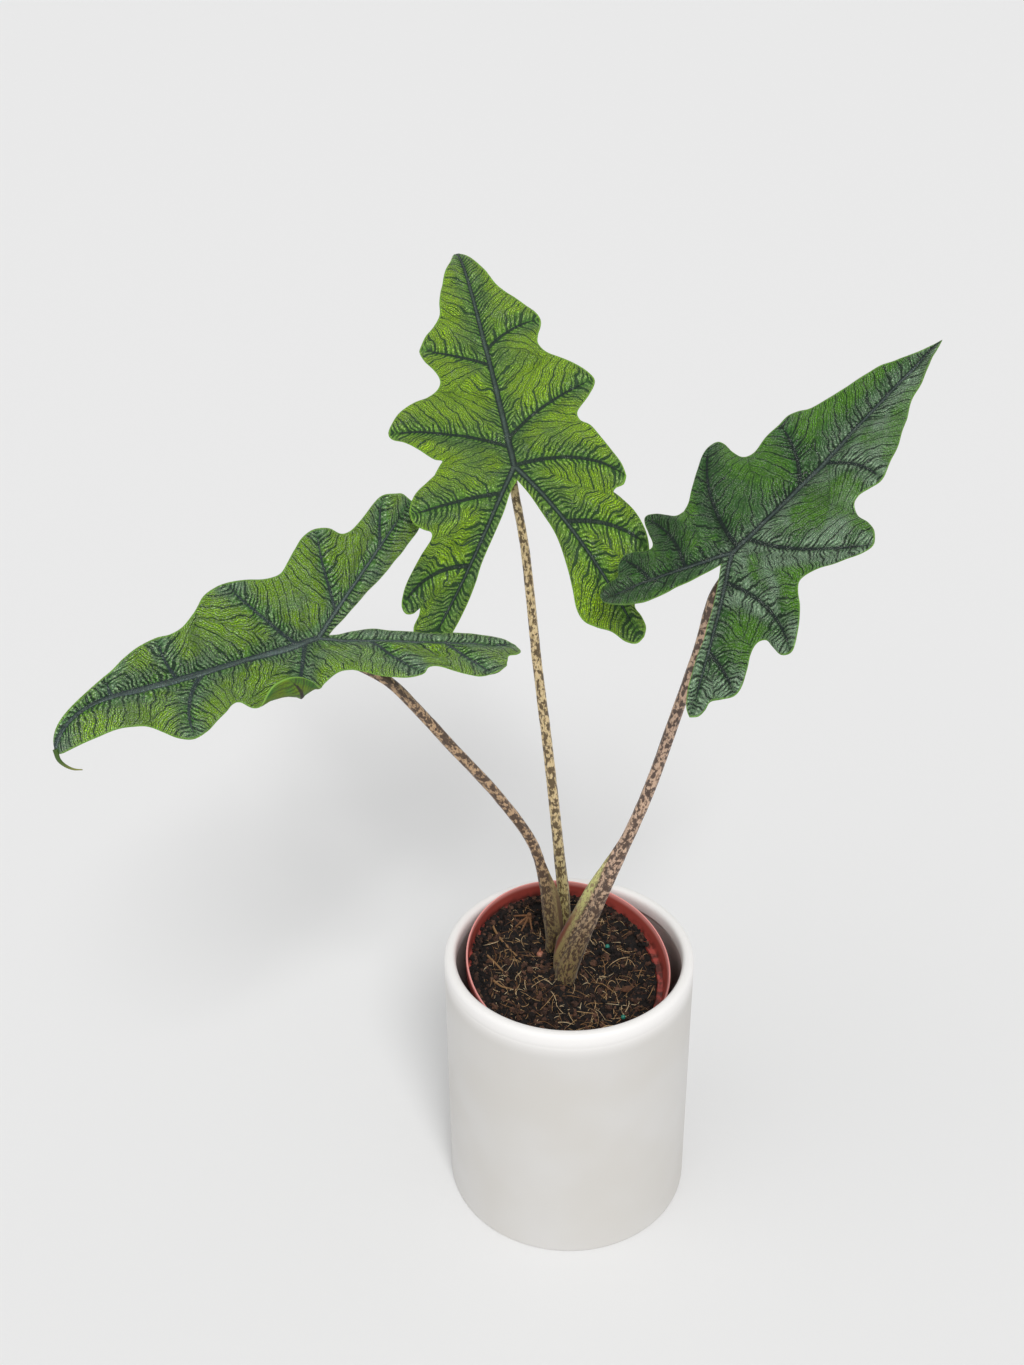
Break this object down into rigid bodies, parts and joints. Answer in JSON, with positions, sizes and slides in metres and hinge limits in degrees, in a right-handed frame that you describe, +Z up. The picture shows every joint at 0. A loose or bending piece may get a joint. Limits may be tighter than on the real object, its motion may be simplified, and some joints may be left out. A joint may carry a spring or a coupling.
{
  "type": "potted jacklyn alocasia",
  "caption": "Alocasia with lobed, corrugated leaves on mottled upright stems, in a leaning plastic nursery pot inside a white cylindrical cover pot.",
  "frame": {"origin": "centre of the cover pot's flat bottom", "axes": "+Z up along the cover pot's axis; +X to the right and +Y away from the viewer in the front view"},
  "size_m": [0.4076, 0.3731, 0.5222],
  "materials": {
    "white_glaze": "white glazed stoneware, satin on the wall and glossier on the lip",
    "expanded_clay": "rough fired clay pebbles",
    "terracotta_plastic": "thin terracotta-red polypropylene, slightly translucent at the rim",
    "potting_soil": "damp dark peat and coir with tan fibres",
    "cormel_skin": "smooth pinkish corm skin",
    "dry_fibre": "dry straw-coloured fibre",
    "bark": "rough brown bark",
    "fertiliser_bead": "coated teal granule",
    "mottled_stem": "fleshy tan stem with dark brown cross bands",
    "leaf_blade": "thick quilted green leaf with a dark grey-green net of veins and fine hairs"
  },
  "bodies": {
    "root": {"cover_pot": "white_glaze", "clay_pebble_bed": "expanded_clay", "nursery_pot": "terracotta_plastic", "soil": "potting_soil", "cormel": "cormel_skin", "old_leaf_stub": "dry_fibre", "fertiliser_bead_1": "fertiliser_bead", "fertiliser_bead_2": "fertiliser_bead", "bark_chip_1": "bark", "bark_chip_2": "bark", "bark_chip_3": "bark", "straw_1": "dry_fibre", "straw_2": "dry_fibre", "straw_3": "dry_fibre", "petiole_centre": "mottled_stem", "petiole_right": "mottled_stem", "petiole_left": "mottled_stem", "blade_centre": "leaf_blade", "blade_right": "leaf_blade", "blade_left": "leaf_blade"}
  },
  "joints": []
}
